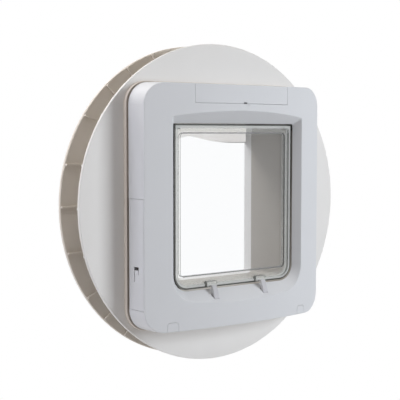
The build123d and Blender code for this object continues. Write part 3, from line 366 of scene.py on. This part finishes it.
finishes = {
    "bezelAbs": mouldedAbs("satin white ABS", "#d3d4d6", "#cfd0d2"),
    "housingAbs": mouldedAbs("warm white ABS housing", "#e1d7cd", "#dcd2c8"),
    "panelAbs": mouldedAbs("pale grey ABS panel", "#bfc2c6", "#babdc1"),
    "discAbs": mouldedAbs("white ABS disc", "#e3e1de", "#dedcd9"),
    # The outer disc is a warmer, darker copy of the disc ABS: painted warm shade for its face in the gap between
    # the discs
    "outerDiscAbs": mouldedAbs("white ABS disc with painted warm shade", "#e0d8cd", "#dbd3c8"),
    # The sleeve's dark grey is partly its own colour and partly painted shade for its wall inside the tunnel
    "tunnelAbs": mouldedAbs("dark-toned ABS sleeve", "#a09b94", "#9b968f"),
    "frameAbs": mouldedAbs("white ABS frame", "#e4e4e3", "#dfdfde"),
    "nylon": mouldedAbs("natural nylon", "#c4c3c6", "#bcbbbe", roughness=0.35),
    "darkPlastic": mouldedAbs("black polyamide", "#26262a", "#1d1d20", roughness=0.5),
    "buttonPlastic": mouldedAbs("blue grey acetal", "#5f7391", "#586b88", roughness=0.3),
    "clear": clearPolycarbonate("clear polycarbonate"),
    "lens": redAcrylic("red acrylic lens"),
    "board": solderMask("green solder mask"),
    "copper": enamelledCopper("enamelled copper wire"),
    "steel": zincSteel("zinc plated steel"),
}
wears = {
    "bezelAbs": ["front_bezel", "hatch", "battery_cover_left", "battery_cover_right",
                 "screw_cover_left", "screw_cover_right"],
    "housingAbs": ["rear_housing"],
    "panelAbs": ["control_panel"],
    "discAbs": ["inner_disc"],
    "outerDiscAbs": ["outer_disc"],
    "tunnelAbs": ["tunnel"],
    "frameAbs": ["outer_frame"],
    "nylon": ["lock_claw_left", "lock_claw_right"],
    "darkPlastic": ["lock_motor", "button_switch", "presence_sensor"],
    "buttonPlastic": ["learn_button"],
    "clear": ["flap"],
    "lens": ["status_light"],
    "board": ["circuit_board"],
    "copper": ["reader_coil"],
    "steel": ["hinge_pins", "lock_shaft", "battery_contacts", "battery_springs",
              "clamp_screws", "bezel_screws", "disc_screws"],
}
for cell in cellFilm["cells"]:
    finishes[cell] = shrunkFilm("shrunk film " + cell, cell)
    wears[cell] = [cell]
for finish, names in wears.items():
    for name in names:
        slots = nodes[name].data.materials
        slots.clear()
        slots.append(finishes[finish])
lightLintel(finishes["frameAbs"])
# Painted shade on the housing in the gap behind the bezel
paintGapShade(finishes["housingAbs"], "rear_housing")
nodes["flap"].visible_shadow = False  # light from the room goes through clear plastic
print("finishes on", sum(len(names) for names in wears.values()), "nodes")

# Rolled threads on the clamp screws where they cross the gap for the pane, one ridge wound along each shank
thread = {"root": 1.8, "crest": 2.25, "pitch": 0.8, "crestShare": 0.3, "turns": 42, "steps": 14, "from": 3.2,
          "near": 0.01, "weld": 0.005,
          "places": [(-98.0, -136.3), (98.0, -136.3), (-60.0, 131.0), (60.0, 131.0)]}
bpy.ops.object.select_all(action="DESELECT")
bpy.ops.mesh.primitive_plane_add(size=1.0, location=((thread["root"] + thread["crest"]) / 2 * mm, 0, 0),
                                 rotation=(math.pi / 2, 0, 0))
ridge = bpy.context.active_object
ridge.scale = ((thread["crest"] - thread["root"]) * mm, thread["pitch"] * mm, 1)
bpy.ops.object.transform_apply(location=True, rotation=True, scale=True)
corners = ridge.data.vertices
rootX = min(corner.co.x for corner in corners)
for corner in corners:
    corner.select = corner.co.x > rootX + thread["near"] * mm
for edge in ridge.data.edges:
    edge.select = all(corners[i].select for i in edge.vertices)
for face in ridge.data.polygons:
    face.select = False
bpy.ops.object.mode_set(mode="EDIT")
bpy.ops.mesh.select_mode(type="VERT")
bpy.ops.transform.resize(value=(1, 1, thread["crestShare"]))  # the crest is a narrow flat
bpy.ops.mesh.select_all(action="INVERT")
bpy.ops.mesh.delete(type="EDGE_FACE")  # the side towards the shank stays open
bpy.ops.object.mode_set(mode="OBJECT")
helix = ridge.modifiers.new("helix", "SCREW")
helix.axis = "Z"
helix.screw_offset = thread["pitch"] * mm
helix.iterations = thread["turns"]
helix.steps = thread["steps"]
helix.render_steps = thread["steps"]
helix.use_merge_vertices = True
helix.merge_threshold = thread["weld"] * mm
bpy.ops.object.modifier_apply(modifier="helix")
bpy.ops.object.mode_set(mode="EDIT")
bpy.ops.mesh.select_all(action="SELECT")
bpy.ops.mesh.remove_doubles(threshold=thread["weld"] * mm)
bpy.ops.mesh.normals_make_consistent(inside=False)
bpy.ops.object.mode_set(mode="OBJECT")
ridge.rotation_euler = (-math.pi / 2, 0, 0)
bpy.ops.object.transform_apply(location=True, rotation=True, scale=True)
shanks = [ridge]
while len(shanks) < len(thread["places"]):
    shank = ridge.copy()
    shank.data = ridge.data.copy()
    bpy.context.collection.objects.link(shank)
    shanks.append(shank)
for i, (x, z) in enumerate(thread["places"]):
    shank = shanks[i]
    shank.name = "clampThread" + str(i + 1)
    bpy.ops.object.select_all(action="DESELECT")
    shank.select_set(True)
    bpy.context.view_layer.objects.active = shank
    bpy.ops.transform.translate(value=(x * mm, (thread["from"] + thread["pitch"] / 2) * mm, z * mm))
    bpy.ops.object.transform_apply(location=True, rotation=True, scale=True)
    shank.data.materials.clear()
    shank.data.materials.append(finishes["steel"])
    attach(shank, "root")
print("threads on", len(shanks), "clamp screws")

# Studio: a pale floor well below the part, and white all round for the eye and for clear plastic
studio = {"floorDrop": 0.75, "floorSize": 40.0, "floorColour": "#eeeeee", "floorRoughness": 0.8,
          "ambient": 0.06, "ambientColour": "#ffd2a4", "white": "#ffffff"}
lamps = {
    "key": {"place": (0.80, -1.40, 0.26), "wide": 0.65, "tall": 0.65, "watts": 20.8, "colour": "#f0f6fd"},
    "sideFill": {"place": (-1.92, 0.24, 0.5), "wide": 1.2, "tall": 1.2, "watts": 21.0, "colour": "#eef1fc"},
    "overhead": {"place": (-0.6, -0.45, 1.8), "wide": 1.2, "tall": 1.2, "watts": 12.5, "colour": "#ffffff"},
    "backWindow": {"place": (-0.5, 1.2, 1.3), "wide": 0.9, "tall": 0.9, "watts": 27.0, "colour": "#fdfbf8"},
}


def whiteToTheEye(tree, dimShader, whiteShader):
    path = addNode(tree, "ShaderNodeLightPath")
    seen = addNode(tree, "ShaderNodeMath", {"operation": "MAXIMUM"},
                   {0: (path, "Is Camera Ray"), 1: (path, "Is Glossy Ray")})
    seenThrough = addNode(tree, "ShaderNodeMath", {"operation": "MAXIMUM"},
                          {0: (seen, 0), 1: (path, "Is Transmission Ray")})
    return addNode(tree, "ShaderNodeMixShader", None,
                   {"Fac": (seenThrough, 0), 1: (dimShader, 0), 2: (whiteShader, 0)})


world = bpy.data.worlds.new("studio")
bpy.context.scene.world = world
world.use_nodes = True
tree = world.node_tree
dim = tree.nodes["Background"]
dim.inputs["Color"].default_value = hexToLinear(studio["ambientColour"])
dim.inputs["Strength"].default_value = studio["ambient"]
white = addNode(tree, "ShaderNodeBackground", {"Color": hexToLinear(studio["white"]), "Strength": 1.0})
tree.links.new(whiteToTheEye(tree, dim, white).outputs[0], tree.nodes["World Output"].inputs["Surface"])

bpy.ops.object.select_all(action="DESELECT")
bpy.ops.mesh.primitive_plane_add(size=studio["floorSize"], location=(0, 0, cadBox[0].z - studio["floorDrop"]))
floor = bpy.context.active_object
floor.name = "studioFloor"
floorMaterial, tree, shader = newMaterial("pale studio floor")
shader.inputs["Base Color"].default_value = hexToLinear(studio["floorColour"])
shader.inputs["Roughness"].default_value = studio["floorRoughness"]
glow = addNode(tree, "ShaderNodeEmission", {"Color": hexToLinear(studio["white"]), "Strength": 1.0})
tree.links.new(whiteToTheEye(tree, shader, glow).outputs[0], tree.nodes["Material Output"].inputs["Surface"])
floor.data.materials.append(floorMaterial)

for name, lamp in lamps.items():
    bpy.ops.object.light_add(type="AREA", location=lamp["place"])
    light = bpy.context.active_object
    light.name = name
    light.data.shape = "RECTANGLE"
    light.data.size = lamp["wide"]
    light.data.size_y = lamp["tall"]
    light.data.energy = lamp["watts"]
    light.data.color = hexToLinear(lamp["colour"])[:3]
    light.visible_glossy = False  # no lamp shows in the flap, or through it
    light.visible_transmission = False
    light.rotation_euler = (-Vector(lamp["place"])).to_track_quat("-Z", "Y").to_euler()

# Camera at the photograph's viewpoint
viewpoint = {"place": (-723.99, -952.15, 83.48), "azimuth": 36.36, "pitch": 3.85, "focal": 87.11, "sensor": 36.0}
turn = math.radians(viewpoint["azimuth"])
dip = math.radians(viewpoint["pitch"])
aim = Vector((math.sin(turn) * math.cos(dip), math.cos(turn) * math.cos(dip), -math.sin(dip)))
bpy.ops.object.camera_add(location=Vector(viewpoint["place"]) * mm)
camera = bpy.context.active_object
camera.rotation_euler = aim.to_track_quat("-Z", "Y").to_euler()
camera.data.sensor_width = viewpoint["sensor"]
camera.data.lens = viewpoint["focal"]
bpy.context.scene.camera = camera
bpy.context.scene.view_settings.view_transform = "Standard"
print("studio and camera set")
